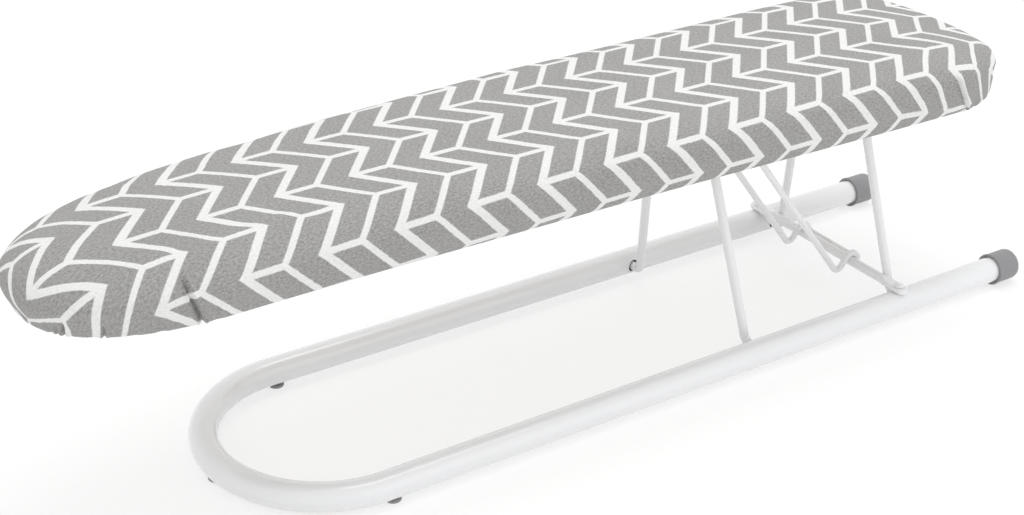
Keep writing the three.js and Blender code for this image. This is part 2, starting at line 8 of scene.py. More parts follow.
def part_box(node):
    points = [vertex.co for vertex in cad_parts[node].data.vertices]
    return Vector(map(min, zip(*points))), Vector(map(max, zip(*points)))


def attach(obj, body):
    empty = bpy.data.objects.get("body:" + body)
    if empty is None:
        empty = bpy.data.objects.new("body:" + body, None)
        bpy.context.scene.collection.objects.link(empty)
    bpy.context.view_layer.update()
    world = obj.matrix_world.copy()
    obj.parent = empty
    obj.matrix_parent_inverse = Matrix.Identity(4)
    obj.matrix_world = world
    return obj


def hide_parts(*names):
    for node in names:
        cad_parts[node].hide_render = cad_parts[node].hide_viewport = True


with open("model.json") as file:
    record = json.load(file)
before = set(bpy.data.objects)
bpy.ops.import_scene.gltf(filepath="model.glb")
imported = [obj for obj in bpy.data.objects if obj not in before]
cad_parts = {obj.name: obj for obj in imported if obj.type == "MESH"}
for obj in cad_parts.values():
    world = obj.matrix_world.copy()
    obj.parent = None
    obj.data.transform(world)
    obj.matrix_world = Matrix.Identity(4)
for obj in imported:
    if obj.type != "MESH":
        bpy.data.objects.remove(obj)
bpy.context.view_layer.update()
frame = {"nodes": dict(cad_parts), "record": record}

MM = 0.001


def joint_place(name):
    """Where a hinge's axis crosses the middle of the pad."""
    found = [j for j in frame["record"]["behaviour"]["joints"] if j["name"] == name]
    return Vector(found[0]["pos_m"])


def put(name, data):
    """A new object in the scene."""
    made = bpy.data.objects.new(name, data)
    bpy.context.scene.collection.objects.link(made)
    return made


# Camera, first: a long lens looking down at the near side from the nose end
LENS_SENSOR = 36.0
PHOTO_WIDTH, PHOTO_HEIGHT = 1024, 515
FOCAL_PIXELS = 1837.0
PICTURE_CENTRE = (508.3, 249.6)
CAMERA_PLACE = Vector((-542.1, -737.8, 563.0)) * MM
CAMERA_RIGHT = Vector((0.82935, -0.55822, 0.02393))
CAMERA_UP = Vector((0.24486, 0.40161, 0.88247))


def make_camera():
    lens = bpy.data.cameras.new("pad_camera")
    camera = put("pad_camera", lens)
    lens.sensor_width = LENS_SENSOR
    lens.lens = LENS_SENSOR * FOCAL_PIXELS / PHOTO_WIDTH
    lens.shift_x = (PHOTO_WIDTH / 2 - PICTURE_CENTRE[0]) / PHOTO_WIDTH
    lens.shift_y = (PICTURE_CENTRE[1] - PHOTO_HEIGHT / 2) / PHOTO_WIDTH
    lens.clip_start, lens.clip_end = 0.05, 20
    right = CAMERA_RIGHT.normalized()
    back = right.cross(CAMERA_UP).normalized()
    up = back.cross(right)
    camera.matrix_world = Matrix.Translation(CAMERA_PLACE) @ Matrix((right, up, back)).transposed().to_4x4()
    bpy.context.scene.camera = camera


make_camera()


# Finishes
class Reading:
    """One output in a node tree; sums on it add Math nodes to that tree."""

    def __init__(self, nodes, socket):
        self.nodes = nodes
        self.socket = socket

    def sum(self, operation, *values):
        return self.nodes.node("ShaderNodeMath", {"operation": operation}, dict(enumerate(values)))

    def __add__(self, other):
        return self.sum("ADD", self, other)

    def __sub__(self, other):
        return self.sum("SUBTRACT", self, other)

    def __rsub__(self, other):
        return self.sum("SUBTRACT", other, self)

    def __mul__(self, other):
        return self.sum("MULTIPLY", self, other)

    def __truediv__(self, other):
        return self.sum("DIVIDE", self, other)

    def __mod__(self, other):
        return self.sum("FLOORED_MODULO", self, other)

    def __abs__(self):
        return self.sum("ABSOLUTE", self)

    def above(self, level):
        return self.sum("GREATER_THAN", self, level)

    def wave(self):
        return self.sum("SINE", self)

    def larger(self, other):
        return self.sum("MAXIMUM", self, other)

    def clipped(self):
        return self.nodes.node("ShaderNodeClamp", {}, {"Value": self})


class Nodes:
    """A node tree that calls add nodes to."""

    def __init__(self, tree):
        self.tree = tree

    def node(self, kind, settings=None, inputs=None, output=0):
        made = self.tree.nodes.new(kind)
        for key, value in (settings or {}).items():
            setattr(made, key, value)
        self.fill(made, inputs or {})
        return Reading(self, made.outputs[output])

    def fill(self, made, inputs):
        for key, value in inputs.items():
            if isinstance(value, Reading):
                self.tree.links.new(value.socket, made.inputs[key])
            else:
                made.inputs[key].default_value = value

    def seen_directly(self):
        """1 for the camera's own rays and for what gloss and glass show, 0 for light on other things."""
        camera, gloss, glass = [self.node("ShaderNodeLightPath", output=f"Is {kind} Ray")
                                for kind in ("Camera", "Glossy", "Transmission")]
        return camera.larger(gloss).larger(glass)


class Finish(Nodes):
    """A material whose surface is one Principled shader."""

    def __init__(self, name, **constants):
        self.material = bpy.data.materials.new(name)
        self.material.use_nodes = True
        super().__init__(self.material.node_tree)
        self.shader = self.tree.nodes["Principled BSDF"]
        self.set(**constants)

    def set(self, **values):
        """Values of the shader's own sockets, by their names with _ for the spaces."""
        self.fill(self.shader, {key.replace("_", " "): value for key, value in values.items()})

    def place(self):
        return self.node("ShaderNodeTexCoord", output="Object")

    def noise(self, place, size, detail=2.0, roughness=0.5):
        """Smooth noise about one half, whose lumps are of some size in metres."""
        return self.node("ShaderNodeTexNoise", {}, {
            "Vector": place, "Scale": 1 / size, "Detail": detail, "Roughness": roughness,
        })

    def tint(self, factor, low, high):
        """A colour that goes from one to another with a factor from 0 to 1."""
        return self.node("ShaderNodeMix", {"data_type": "RGBA"}, {
            "Factor": factor, 6: (*low, 1), 7: (*high, 1),
        }, output=2)

    def bump(self, height, depth):
        """Relief of a depth in metres, where the height goes from 0 to 1."""
        self.set(Normal=self.node("ShaderNodeBump", {}, {"Height": height, "Distance": depth}))


def powder_coat():
    """White powder coat on steel: even and glossy, with a faint orange-peel surface."""
    coat = Finish("white_powder_coat", Specular_IOR_Level=0.5, Coat_Weight=0.7, Coat_Roughness=0.05)
    place = coat.place()
    cloud = coat.noise(place, 0.03)
    peel = coat.noise(place, 0.0016, detail=1)
    coat.set(Base_Color=coat.tint(cloud, (0.905, 0.912, 0.925), (0.935, 0.942, 0.955)))
    coat.set(Roughness=cloud * 0.08 + 0.2)
    coat.bump(peel, 0.000012)
    return coat.material


def cap_plastic():
    """Satin grey moulded plastic with a fine spark-eroded grain."""
    plastic = Finish("grey_cap_plastic", Specular_IOR_Level=0.4)
    place = plastic.place()
    grain = plastic.noise(place, 0.0006, detail=3)
    cloud = plastic.noise(place, 0.012)
    plastic.set(Base_Color=plastic.tint(cloud, (0.27, 0.27, 0.28), (0.31, 0.31, 0.32)))
    plastic.set(Roughness=grain * 0.12 + 0.42)
    plastic.bump(grain, 0.00005)
    return plastic.material


def pad_rubber():
    """Matt grey rubber with a fine grain."""
    rubber = Finish("dark_pad_rubber", Specular_IOR_Level=0.3)
    grain = rubber.noise(rubber.place(), 0.0005, detail=3)
    rubber.set(Base_Color=rubber.tint(grain, (0.30, 0.30, 0.305), (0.38, 0.38, 0.385)))
    rubber.set(Roughness=grain * 0.1 + 0.7)
    rubber.bump(grain, 0.00004)
    return rubber.material


def zinc_plate():
    """Bright zinc plating, faintly clouded, with a little spangle."""
    zinc = Finish("zinc_plated_steel", Metallic=1.0)
    place = zinc.place()
    spangle = zinc.node("ShaderNodeTexVoronoi", {}, {"Vector": place, "Scale": 900.0})
    cloud = zinc.noise(place, 0.006, detail=3)
    zinc.set(Base_Color=zinc.tint(cloud, (0.55, 0.56, 0.58), (0.70, 0.71, 0.72)))
    zinc.set(Roughness=spangle * 0.15 + cloud * 0.1 + 0.25)
    zinc.bump(cloud, 0.00003)
    return zinc.material


def pressed_board():
    """Raw pressed fibre board: pale, with light and dark fibres lying flat."""
    board = Finish("raw_fibre_board", Specular_IOR_Level=0.2)
    place = board.place()
    stretched = board.node("ShaderNodeMapping", {}, {"Vector": place, "Scale": (0.35, 1.0, 1.0)})
    fibres = board.noise(stretched, 0.0012, detail=6, roughness=0.7)
    cloud = board.noise(place, 0.05, detail=3)
    board.set(Base_Color=board.tint((fibres * 1.6 - 0.5 + cloud * 0.4).clipped(),
                                    (0.34, 0.285, 0.215), (0.56, 0.50, 0.42)))
    board.set(Roughness=fibres * 0.15 + 0.78)
    board.bump(fibres, 0.0002)
    return board.material


def open_foam():
    """Pale padding with fine open cells."""
    foam = Finish("pale_padding", Specular_IOR_Level=0.1, Roughness=1.0)
    cells = foam.node("ShaderNodeTexVoronoi", {}, {"Vector": foam.place(), "Scale": 1100.0})
    foam.set(Base_Color=foam.tint(cells.clipped(), (0.62, 0.59, 0.50), (0.84, 0.82, 0.74)))
    foam.bump(cells, 0.0003)
    return foam.material


def braided_elastic():
    """White elastic with its braid running along the hem."""
    elastic = Finish("white_braided_elastic", Specular_IOR_Level=0.2, Roughness=0.9)
    place = elastic.place()
    braid = elastic.node("ShaderNodeTexWave", {"wave_type": "BANDS", "bands_direction": "DIAGONAL"},
                         {"Vector": place, "Scale": 380.0, "Distortion": 1.0}, output=1)
    elastic.set(Base_Color=elastic.tint(braid, (0.74, 0.74, 0.72), (0.92, 0.92, 0.90)))
    elastic.bump(braid, 0.0002)
    return elastic.material


# The print, in millimetres on the flat cloth: zigzag white lines across the pad, in turn thin and
# thick, joined by short lines along it, so that grey chevrons point to the nose and to the tail
PRINT_PERIOD = 41.3
PRINT_ROW = 23.4
PRINT_SWING = 10.25
PRINT_START = -273.3
PRINT_TOP_ROW = 52.4
THIN_LINE, THICK_LINE, SHORT_LINE = 3.3, 4.3, 3.4
LINE_SLOPE = PRINT_ROW / math.hypot(PRINT_ROW, 2 * PRINT_SWING)
INK_EDGE = 0.55
THREAD = 0.55
WANDER_ALONG, WANDER_ACROSS = 0.7, 0.5


def printed_cotton():
    """Woven cotton with a grey chevron print, a little uneven in its ink and threads."""
    cotton = Finish("chevron_print_cotton", Specular_IOR_Level=0.15, Roughness=0.92,
                    Sheen_Weight=0.12, Sheen_Roughness=0.5)
    flat = cotton.node("ShaderNodeAttribute", {"attribute_name": "cloth_flat"}, output=1)
    wander = cotton.noise(flat, 0.004)
    parts = cotton.node("ShaderNodeSeparateXYZ", {}, {"Vector": flat})
    along = parts / MM + wander * WANDER_ALONG - WANDER_ALONG / 2
    across = Reading(cotton, parts.socket.node.outputs[1]) / MM + wander * WANDER_ACROSS - WANDER_ACROSS / 2

    row = (PRINT_TOP_ROW - across) / PRINT_ROW
    off_odd_row = abs(row % 2 - 1)
    column = (along - (off_odd_row * 2 - 1) * PRINT_SWING - PRINT_START) / PRINT_PERIOD
    share = column % 1
    off_thick = abs(share - 0.5)
    to_thin = (0.5 - off_thick) * (PRINT_PERIOD * LINE_SLOPE)
    to_thick = off_thick * (PRINT_PERIOD * LINE_SLOPE)
    second = share.above(0.5)
    to_short = (1 - off_odd_row) * PRINT_ROW * (1 - second) + off_odd_row * PRINT_ROW * second

    def line(distance, width):
        return ((width / 2 - distance) / INK_EDGE + 0.5).clipped()

    bare = line(to_thin, THIN_LINE).larger(line(to_thick, THICK_LINE)).larger(line(to_short, SHORT_LINE))

    mottle = cotton.noise(flat, 0.0012, detail=3, roughness=0.65)
    cloud = cotton.noise(flat, 0.045, detail=2)
    slub = cotton.noise(cotton.node("ShaderNodeMapping", {}, {"Vector": flat, "Scale": (0.4, 1.0, 1.0)}),
                        0.0008, detail=2)
    ink = (mottle * 2.4 + slub * 2.0 + cloud * 0.4 - 1.9).clipped()
    grey = cotton.tint(ink, (0.283, 0.279, 0.270), (0.468, 0.462, 0.452))
    white = cotton.tint(ink, (0.825, 0.822, 0.812), (0.950, 0.947, 0.940))
    colours = {"Factor": bare, 6: grey, 7: white}
    cotton.set(Base_Color=cotton.node("ShaderNodeMix", {"data_type": "RGBA"}, colours, output=2))
    turns = 2 * math.pi / THREAD
    weave = (along * turns).wave() * (across * turns).wave()
    cotton.bump(weave * 0.25 + slub * 0.4 + mottle * 0.4, 0.0001)
    return cotton.material


# Meshes
def ease(share):
    """A share from 0 to 1, gentle at both ends."""
    return share * share * (3 - 2 * share)


def link(name, mesh, finish, body, node, sharp_above=40):
    """Makes a piece of a mesh, riding on a body, in place of a CAD node."""
    piece = put(name, mesh)
    mesh.materials.append(finish)
    mesh.polygons.foreach_set("use_smooth", [True] * len(mesh.polygons))
    mesh.set_sharp_from_angle(angle=math.radians(sharp_above))
    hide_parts(node)
    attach(piece, body)
    return piece


def finished(mesh, name):
    """Blender's own mesh from one that was built."""
    result = bpy.data.meshes.new(name)
    mesh.to_mesh(result)
    mesh.free()
    return result


def skin(rings, looped=False):
    """A closed mesh over rings of equal count, capped at both ends unless it runs round."""
    count = len(rings[0])
    mesh = bmesh.new()
    rows = [[mesh.verts.new(point) for point in ring] for ring in rings]
    for before, after in zip(rows, rows[1:] + rows[:1] if looped else rows[1:]):
        for i in range(count):
            j = (i + 1) % count
            mesh.faces.new((before[i], before[j], after[j], after[i]))
    if not looped:
        mesh.faces.new(list(reversed(rows[0])))
        mesh.faces.new(rows[-1])
    bmesh.ops.recalc_face_normals(mesh, faces=mesh.faces)
    return finished(mesh, "skin")


def bent_route(corners, bends, steps=10):
    """Places and directions along a polyline whose inner corners are rounded."""
    route = [(corners[0], (corners[1] - corners[0]).normalized())]
    for before, corner, after, bend in zip(corners, corners[1:], corners[2:], bends):
        come, go = (corner - before).normalized(), (after - corner).normalized()
        turn, axis = come.angle(go), come.cross(go).normalized()
        start = corner - come * bend * math.tan(turn / 2)
        centre = start + axis.cross(come) * bend
        for step in range(steps + 1):
            spin = Matrix.Rotation(turn * step / steps, 3, axis)
            route.append((centre + spin @ (start - centre), spin @ come))
    route.append((corners[-1], (corners[-1] - corners[-2]).normalized()))
    return route


def tube_rings(route, radii, sides):
    """Circles along a route, carried from one to the next without twist."""
    side = route[0][1].orthogonal().normalized()
    rings = []
    last = route[0][1]
    for (place, ahead), radius in zip(route, radii):
        side = last.rotation_difference(ahead) @ side
        side = (side - ahead * side.dot(ahead)).normalized()
        other = ahead.cross(side)
        last = ahead
        rings.append([
            place + (side * math.cos(a) + other * math.sin(a)) * radius
            for a in (2 * math.pi * i / sides for i in range(sides))
        ])
    return rings


# The middle ring of a tube's rounded edge: what share of the edge is left there, both ways
EDGE_MIDDLE = 0.3


def round_ends(route, radius, edge):
    """The route with a small rounded edge at each end, and the radius at each place."""
    (first, first_way), (last, last_way) = route[0], route[-1]
    inner = [(first + first_way * edge, first_way), *route[1:-1], (last - last_way * edge, last_way)]
    near_first = (first + first_way * edge * EDGE_MIDDLE, first_way)
    near_last = (last - last_way * edge * EDGE_MIDDLE, last_way)
    full = [(first, first_way), near_first, *inner, near_last, (last, last_way)]
    closing = [radius - edge * EDGE_MIDDLE, radius - edge]
    return full, closing[::-1] + [radius] * len(inner) + closing


def wire(corners, bends, radius, sides=28, edge=0.6 * MM):
    route, radii = round_ends(bent_route(corners, bends), radius, edge)
    return skin(tube_rings(route, radii, sides))


def turned(profile, sides):
    """A mesh turned about the z axis, from (radius, height) points that begin and end on the axis."""
    mesh = bmesh.new()
    rows = []
    for radius, height in profile:
        if radius == 0:
            rows.append([mesh.verts.new((0, 0, height))])
        else:
            rows.append([
                mesh.verts.new((radius * math.cos(a), radius * math.sin(a), height))
                for a in (2 * math.pi * i / sides for i in range(sides))
            ])
    for low, high in zip(rows, rows[1:]):
        for i in range(sides):
            j = (i + 1) % sides
            if len(low) == 1:
                mesh.faces.new((low[0], high[i], high[j]))
            elif len(high) == 1:
                mesh.faces.new((low[j], low[i], high[0]))
            else:
                mesh.faces.new((low[j], low[i], high[i], high[j]))
    bmesh.ops.recalc_face_normals(mesh, faces=mesh.faces)
    return finished(mesh, "turned")


def cut(mesh, tools):
    """The mesh with other closed meshes cut out of it."""
    body = put("cut_body", mesh)
    cutters = [put("cutter", tool) for tool in tools]
    for cutter in cutters:
        away = body.modifiers.new("cut", "BOOLEAN")
        away.operation, away.solver, away.object = "DIFFERENCE", "EXACT", cutter
    bpy.context.view_layer.update()
    result = bpy.data.meshes.new_from_object(body.evaluated_get(bpy.context.evaluated_depsgraph_get()))
    for extra in [body, *cutters]:
        bpy.data.objects.remove(extra)
    return result


# Base
WHITE_COAT = powder_coat()
CAP_PLASTIC = cap_plastic()
PAD_RUBBER = pad_rubber()
ZINC = zinc_plate()
FIBRE_BOARD = pressed_board()
PADDING = open_foam()
ELASTIC = braided_elastic()
COTTON = printed_cotton()

TUBE_WALL = 1.2 * MM
LEG_WIRE = 2.75 * MM
STAY_WIRE = 2 * MM
BAR_RADIUS = 3 * MM
PIVOT_CLEARANCE = 1.2 * MM
GAP = 0.3 * MM
OVERRUN = 5 * MM
TUBE_BEND_STEPS, TUBE_SIDES, BORE_SIDES, HOLE_SIDES = 40, 64, 48, 40

tube_low, tube_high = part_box("base_tube")
tube_radius = (tube_high.z - tube_low.z) / 2
tube_y = tube_high.y - tube_radius
tube_z = (tube_high.z + tube_low.z) / 2
front_foot, rear_foot = joint_place("fold"), joint_place("rear_leg_fold")
front_top = joint_place("board_level")
bar_place = joint_place("stay_fold")


def make_base_tube():
    nose_axis_x = tube_low.x + tube_radius
    corners = [
        Vector((tube_high.x, -tube_y, tube_z)),
        Vector((nose_axis_x, -tube_y, tube_z)),
        Vector((nose_axis_x, tube_y, tube_z)),
        Vector((tube_high.x, tube_y, tube_z)),
    ]
    route = bent_route(corners, [tube_y, tube_y], steps=TUBE_BEND_STEPS)
    outside = skin(tube_rings(route, [tube_radius] * len(route), TUBE_SIDES))
    longer = [(route[0][0] - route[0][1] * OVERRUN, route[0][1]), *route[1:-1],
              (route[-1][0] + route[-1][1] * OVERRUN, route[-1][1])]
    bore = skin(tube_rings(longer, [tube_radius - TUBE_WALL] * len(longer), BORE_SIDES))
    holes = []
    for side in (-1, 1):
        for foot in (front_foot, rear_foot):
            start = Vector((foot.x, side * (tube_y - tube_radius - OVERRUN), tube_z))
            end = Vector((foot.x, side * tube_y, tube_z))
            way = (end - start).normalized()
            radii = [LEG_WIRE + PIVOT_CLEARANCE] * 2
            holes.append(skin(tube_rings([(start, way), (end, way)], radii, HOLE_SIDES)))
    link("base_tube_coated", cut(outside, [bore, *holes]), WHITE_COAT, "base", "base_tube")


# End cap, in millimetres: its domed end (in from the side, back from the tip), the neck before its lip
# (out from the side, back from the mouth) and the lip (in from its rim, back from the mouth)
CAP_DOME = ((2.4, 0.2), (1.2, 0.7), (0.4, 1.6), (0, 3))
CAP_NECK = ((0, 1.9), (0.05, 1.5))
CAP_LIP = ((0.05, 1.25), (0, 1.0), (0, 0.3), (0.2, 0))
CAP_LIP_OUT, CAP_FLOOR, CAP_MOUTH_EDGE = 0.35 * MM, 2.5 * MM, 0.3 * MM
CAP_FLAT_SHARE, CAP_FLAT_SUNK = 0.6, 0.05 * MM
CAP_SIDES = 72


def make_end_cap(name, side):
    low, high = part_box(name)
    length, lip = high.x - low.x, (high.z - low.z) / 2
    body = lip - CAP_LIP_OUT
    bore = tube_radius + GAP
    profile = [
        (0, 0), (body * CAP_FLAT_SHARE, CAP_FLAT_SUNK),
        *[(body - inset * MM, back * MM) for inset, back in CAP_DOME],
        *[(body + out * MM, length - back * MM) for out, back in CAP_NECK],
        *[(lip - inset * MM, length - back * MM) for inset, back in CAP_LIP],
        (bore + CAP_MOUTH_EDGE, length), (bore, length - CAP_MOUTH_EDGE), (bore, CAP_FLOOR), (0, CAP_FLOOR),
    ]
    mesh = turned(profile, CAP_SIDES)
    place = Matrix.Translation((high.x, side * tube_y, tube_z))
    mesh.transform(place @ Matrix.Rotation(-math.pi / 2, 4, "Y"))
    link(name + "_moulded", mesh, CAP_PLASTIC, "base", name)


# Foot pad: its rounded sole, in millimetres (in from the side, up from the floor), and its peg
PAD_SOLE = ((0.9, 0), (0.3, 0.15), (0, 0.6))
PAD_TOP_EDGE, PAD_PEG = 0.3 * MM, 1.9 * MM
PAD_SIDES = 48


def make_foot_pad(name):
    low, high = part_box(name)
    middle = (low + high) / 2
    radius = (high.x - low.x) / 2
    head = tube_z - tube_radius - GAP
    profile = [
        (0, 0), *[(radius - inset * MM, up * MM) for inset, up in PAD_SOLE],
        (radius, head - PAD_TOP_EDGE), (radius - PAD_TOP_EDGE, head),
        (PAD_PEG, head), (PAD_PEG, high.z), (0, high.z),
    ]
    mesh = turned(profile, PAD_SIDES)
    mesh.transform(Matrix.Translation((middle.x, middle.y, 0)))
    link(name + "_turned", mesh, PAD_RUBBER, "base", name)


# Crossbar: its pressed flat ends, how they blend into the round bar, and their rounded tips
FLAT_HALF_HEIGHT, FLAT_LENGTH, FLAT_BLEND = 1.7 * MM, 15 * MM, 6 * MM
TIP_HALF_WIDTH, TIP_THINNED, TIP_DEPTH = 0.4 * MM, 0.25 * MM, 0.8
FLAT_SQUARED = 0.45
TIP_STEPS, BLEND_STEPS, BAR_SIDES = 6, 8, 40


def make_crossbar():
    low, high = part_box("crossbar")
    flat_wide = (high.x - low.x) / 2
    half = []
    for step in range(TIP_STEPS, -1, -1):
        turn = math.pi / 2 * step / TIP_STEPS
        half.append((high.y - flat_wide * (1 - math.sin(turn)) * TIP_DEPTH,
                     max(flat_wide * math.cos(turn), TIP_HALF_WIDTH),
                     FLAT_HALF_HEIGHT - TIP_THINNED * (1 - math.cos(turn))))
    for step in range(BLEND_STEPS + 1):
        share = step / BLEND_STEPS
        half.append((high.y - FLAT_LENGTH - FLAT_BLEND * share,
                     flat_wide + (BAR_RADIUS - flat_wide) * ease(share),
                     FLAT_HALF_HEIGHT + (BAR_RADIUS - FLAT_HALF_HEIGHT) * ease(share)))
    stations = half + [(-y, wide, tall) for y, wide, tall in reversed(half)]
    rings = []
    for y, wide, tall in stations:
        power = 1 - FLAT_SQUARED * min(1, abs(BAR_RADIUS - tall) / (BAR_RADIUS - FLAT_HALF_HEIGHT))
        ring = []
        for i in range(BAR_SIDES):
            turn = 2 * math.pi * i / BAR_SIDES
            c, s = math.cos(turn), math.sin(turn)
            ring.append(Vector((bar_place.x + wide * math.copysign(abs(c) ** power, c), y,
                                bar_place.z + tall * math.copysign(abs(s) ** power, s))))
        rings.append(ring)
    link("crossbar_pressed", skin(rings), WHITE_COAT, "base", "crossbar")


RIVET_HEAD, RIVET_HEAD_HEIGHT, RIVET_SHANK = 3.2 * MM, 1.6 * MM, 1.5 * MM
DOME_STEPS, FASTENER_SIDES = 8, 40


def make_rivet(name, side):
    low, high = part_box(name)
    seat = high.z - RIVET_HEAD_HEIGHT
    dome = [(RIVET_HEAD * math.sin(a), seat + (high.z - seat) * math.cos(a))
            for a in (math.pi / 2 * i / DOME_STEPS for i in range(DOME_STEPS, 0, -1))]
    profile = [(0, low.z), (RIVET_SHANK, low.z), (RIVET_SHANK, seat), *dome, (0, high.z)]
    mesh = turned(profile, FASTENER_SIDES)
    mesh.transform(Matrix.Translation((bar_place.x, side * tube_y, 0)))
    link(name + "_domed", mesh, WHITE_COAT, "base", name)


# Legs and stay
FOOT_HALF_WIDTH = 51 * MM
TOP_HALF_WIDTH = 24.5 * MM
FOOT_BEND, TOP_BEND = 5 * MM, 8 * MM


def make_leg(name, foot):
    lean = front_top - front_foot
    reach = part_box(name)[1].y
    spots = [(-reach, 0), (-FOOT_HALF_WIDTH, 0), (-TOP_HALF_WIDTH, 1),
             (TOP_HALF_WIDTH, 1), (FOOT_HALF_WIDTH, 0), (reach, 0)]
    corners = [foot + lean * up + Vector((0, y, 0)) for y, up in spots]
    mesh = wire(corners, [FOOT_BEND, TOP_BEND, TOP_BEND, FOOT_BEND], LEG_WIRE)
    link(name + "_wire", mesh, WHITE_COAT, name, name)


STAY_HALF_WIDTH = 22.5 * MM
STAY_TOP_BEHIND = 24.3 * MM
STAY_DIP = Vector((-11, -6)) * MM
STAY_DIP_BEND, STAY_TOP_BEND, STAY_CROSS_BEND = 4 * MM, 12 * MM, 1.75 * MM
STAY_BUTT_GAP = 0.4 * MM


def make_stay():
    hook = BAR_RADIUS + STAY_WIRE + GAP
    rise = math.atan2(-STAY_DIP.y, -STAY_DIP.x) + math.asin(hook / STAY_DIP.length)
    over_x = STAY_DIP.x + (hook - STAY_DIP.y) / math.tan(rise)
    top_x = front_top.x + STAY_TOP_BEHIND
    top_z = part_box("stay_wire")[1].z - STAY_WIRE
    outline = [
        (hook, 0, 0), (hook, 0, 1), (hook, hook, 1), (over_x, hook, 1), (STAY_DIP.x, STAY_DIP.y, 1),
        (top_x - bar_place.x, top_z - bar_place.z, 1),
    ]
    near = [Vector((bar_place.x + x, -max(STAY_HALF_WIDTH * out, STAY_BUTT_GAP / 2), bar_place.z + z))
            for x, z, out in outline]
    far = [Vector((p.x, -p.y, p.z)) for p in reversed(near)]
    bends = [STAY_CROSS_BEND, hook, hook, STAY_DIP_BEND, STAY_TOP_BEND]
    mesh = wire(near + far, bends + bends[::-1], STAY_WIRE, sides=24, edge=0.3 * MM)
    link("stay_wire_bent", mesh, WHITE_COAT, "stay", "stay_wire")


make_base_tube()
make_end_cap("end_cap_near", -1)
make_end_cap("end_cap_far", 1)
for pad_name in ("foot_pad_nose", "foot_pad_near", "foot_pad_far"):
    make_foot_pad(pad_name)
make_crossbar()
make_rivet("crossbar_rivet_near", -1)
make_rivet("crossbar_rivet_far", 1)
make_leg("front_leg", front_foot)
make_leg("rear_leg", rear_foot)
make_stay()


# Board underneath: the core, its clips, the catch and their screws
def dress_node(name, finish, edge):
    """Gives a CAD piece its finish and slightly rounded edges."""
    piece = frame["nodes"][name]
    piece.data.materials.clear()
    piece.data.materials.append(finish)
    rounded = piece.modifiers.new("rounded edges", "BEVEL")
    rounded.width, rounded.segments, rounded.limit_method = edge, 2, "ANGLE"
    rounded.harden_normals = True


SCREW_HEAD, SCREW_SHANK, SCREW_HEAD_HEIGHT = 2.9 * MM, 1.6 * MM, 1.8 * MM
SCREW_RIM, SCREW_EDGE, SCREW_POINT = 0.5 * MM, 0.1 * MM, 2 * MM
SCREW_ROUNDNESS = 0.7
RECESS_WIDE, RECESS_REACH, RECESS_DEEP = 0.75 * MM, 1.7 * MM, 1.1 * MM
RECESS_TAPER = 0.55


def screw_mesh(low, high):
    """A pan-head screw, head down, with a cross recess."""
    seat = low + SCREW_HEAD_HEIGHT
    rim = seat - SCREW_RIM
    head = [(SCREW_HEAD * math.sin(a) ** SCREW_ROUNDNESS, rim - (SCREW_HEAD_HEIGHT - SCREW_RIM) * math.cos(a))
            for a in (math.pi / 2 * i / DOME_STEPS for i in range(1, DOME_STEPS + 1))]
    profile = [
        (0, low), *head, (SCREW_HEAD, seat - SCREW_EDGE), (SCREW_HEAD - SCREW_EDGE, seat),
        (SCREW_SHANK, seat), (SCREW_SHANK, high - SCREW_POINT), (0, high),
    ]
    recess = []
    for turn in (math.pi / 4, math.pi * 3 / 4):
        bar = bmesh.new()
        bmesh.ops.create_cube(bar, size=1)
        for corner in bar.verts:
            inner = corner.co.z > 0
            corner.co.x *= 2 * RECESS_REACH * (RECESS_TAPER if inner else 1.0)
            corner.co.y *= RECESS_WIDE
            corner.co.z = low + (RECESS_DEEP if inner else -RECESS_DEEP)
        bmesh.ops.rotate(bar, verts=bar.verts, cent=(0, 0, 0), matrix=Matrix.Rotation(turn, 3, "Z"))
        recess.append(finished(bar, "recess"))
    return cut(turned(profile, FASTENER_SIDES), recess)


def make_screw(name):
    low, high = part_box(name)
    mesh = screw_mesh(low.z, high.z)
    middle = (low + high) / 2
    mesh.transform(Matrix.Translation((middle.x, middle.y, 0)))
    link(name + "_driven", mesh, ZINC, "board", name, sharp_above=35)


CORE_EDGE, PRESSED_EDGE = 0.5 * MM, 0.3 * MM

dress_node("board_core", FIBRE_BOARD, CORE_EDGE)
dress_node("stay_catch", ZINC, PRESSED_EDGE)
for leg in ("front", "rear"):
    for side in ("near", "far"):
        clip = f"{leg}_clip_{side}"
        dress_node(clip, ZINC, PRESSED_EDGE)
        make_screw(clip + "_screw_nose")
        make_screw(clip + "_screw_tail")
make_screw("catch_screw_near")
make_screw("catch_screw_far")


# Pad outline, in millimetres: an egg-shaped nose, nearly straight sides and a rounded square tail
NOSE_TIP, NOSE_END, TAIL_START, TAIL_TIP = -313.0, -222.0, 234.0, 294.0
NOSE_HALF_WIDTH, TAIL_HALF_WIDTH, SIDE_BOW = 61.5, 69.5, 0.8
NOSE_POWER, TAIL_POWER = 2 / 2.2, 2 / 2.8
MIDDLE_NOSE, MIDDLE_TAIL = -248.0, 228.0
FOLD_STEP, FINE_STEP, COARSE_STEP = 0.5, 1.3, 3.6
FINE_NOSE, FINE_TAIL = -165.0, 185.0

# The padding's edge at the nose, in the middle and at the tail: width and height of its rounding, how
# far the elastic draws the side in at its foot, and the foam beside the core's edge
NOSE_EDGE = Vector((28.0, 17.0, 3.0, 11.0))
MIDDLE_EDGE = Vector((13.0, 9.0, 4.0, 2.0))
TAIL_EDGE = Vector((10.0, 9.0, 0.4, 2.0))
CROWN_DROP = 1.5

# How far the padding sinks towards its ends, at the top and at the hem, and over what length
NOSE_SINK, NOSE_HEM_SINK, NOSE_SINK_LENGTH = 7.5, 4.5, 199.0
TAIL_SINK, TAIL_SINK_LENGTH = 5.0, 114.0
FAR_NOSE_SINK, FAR_NOSE_WIDTH = 4.5, 45.0

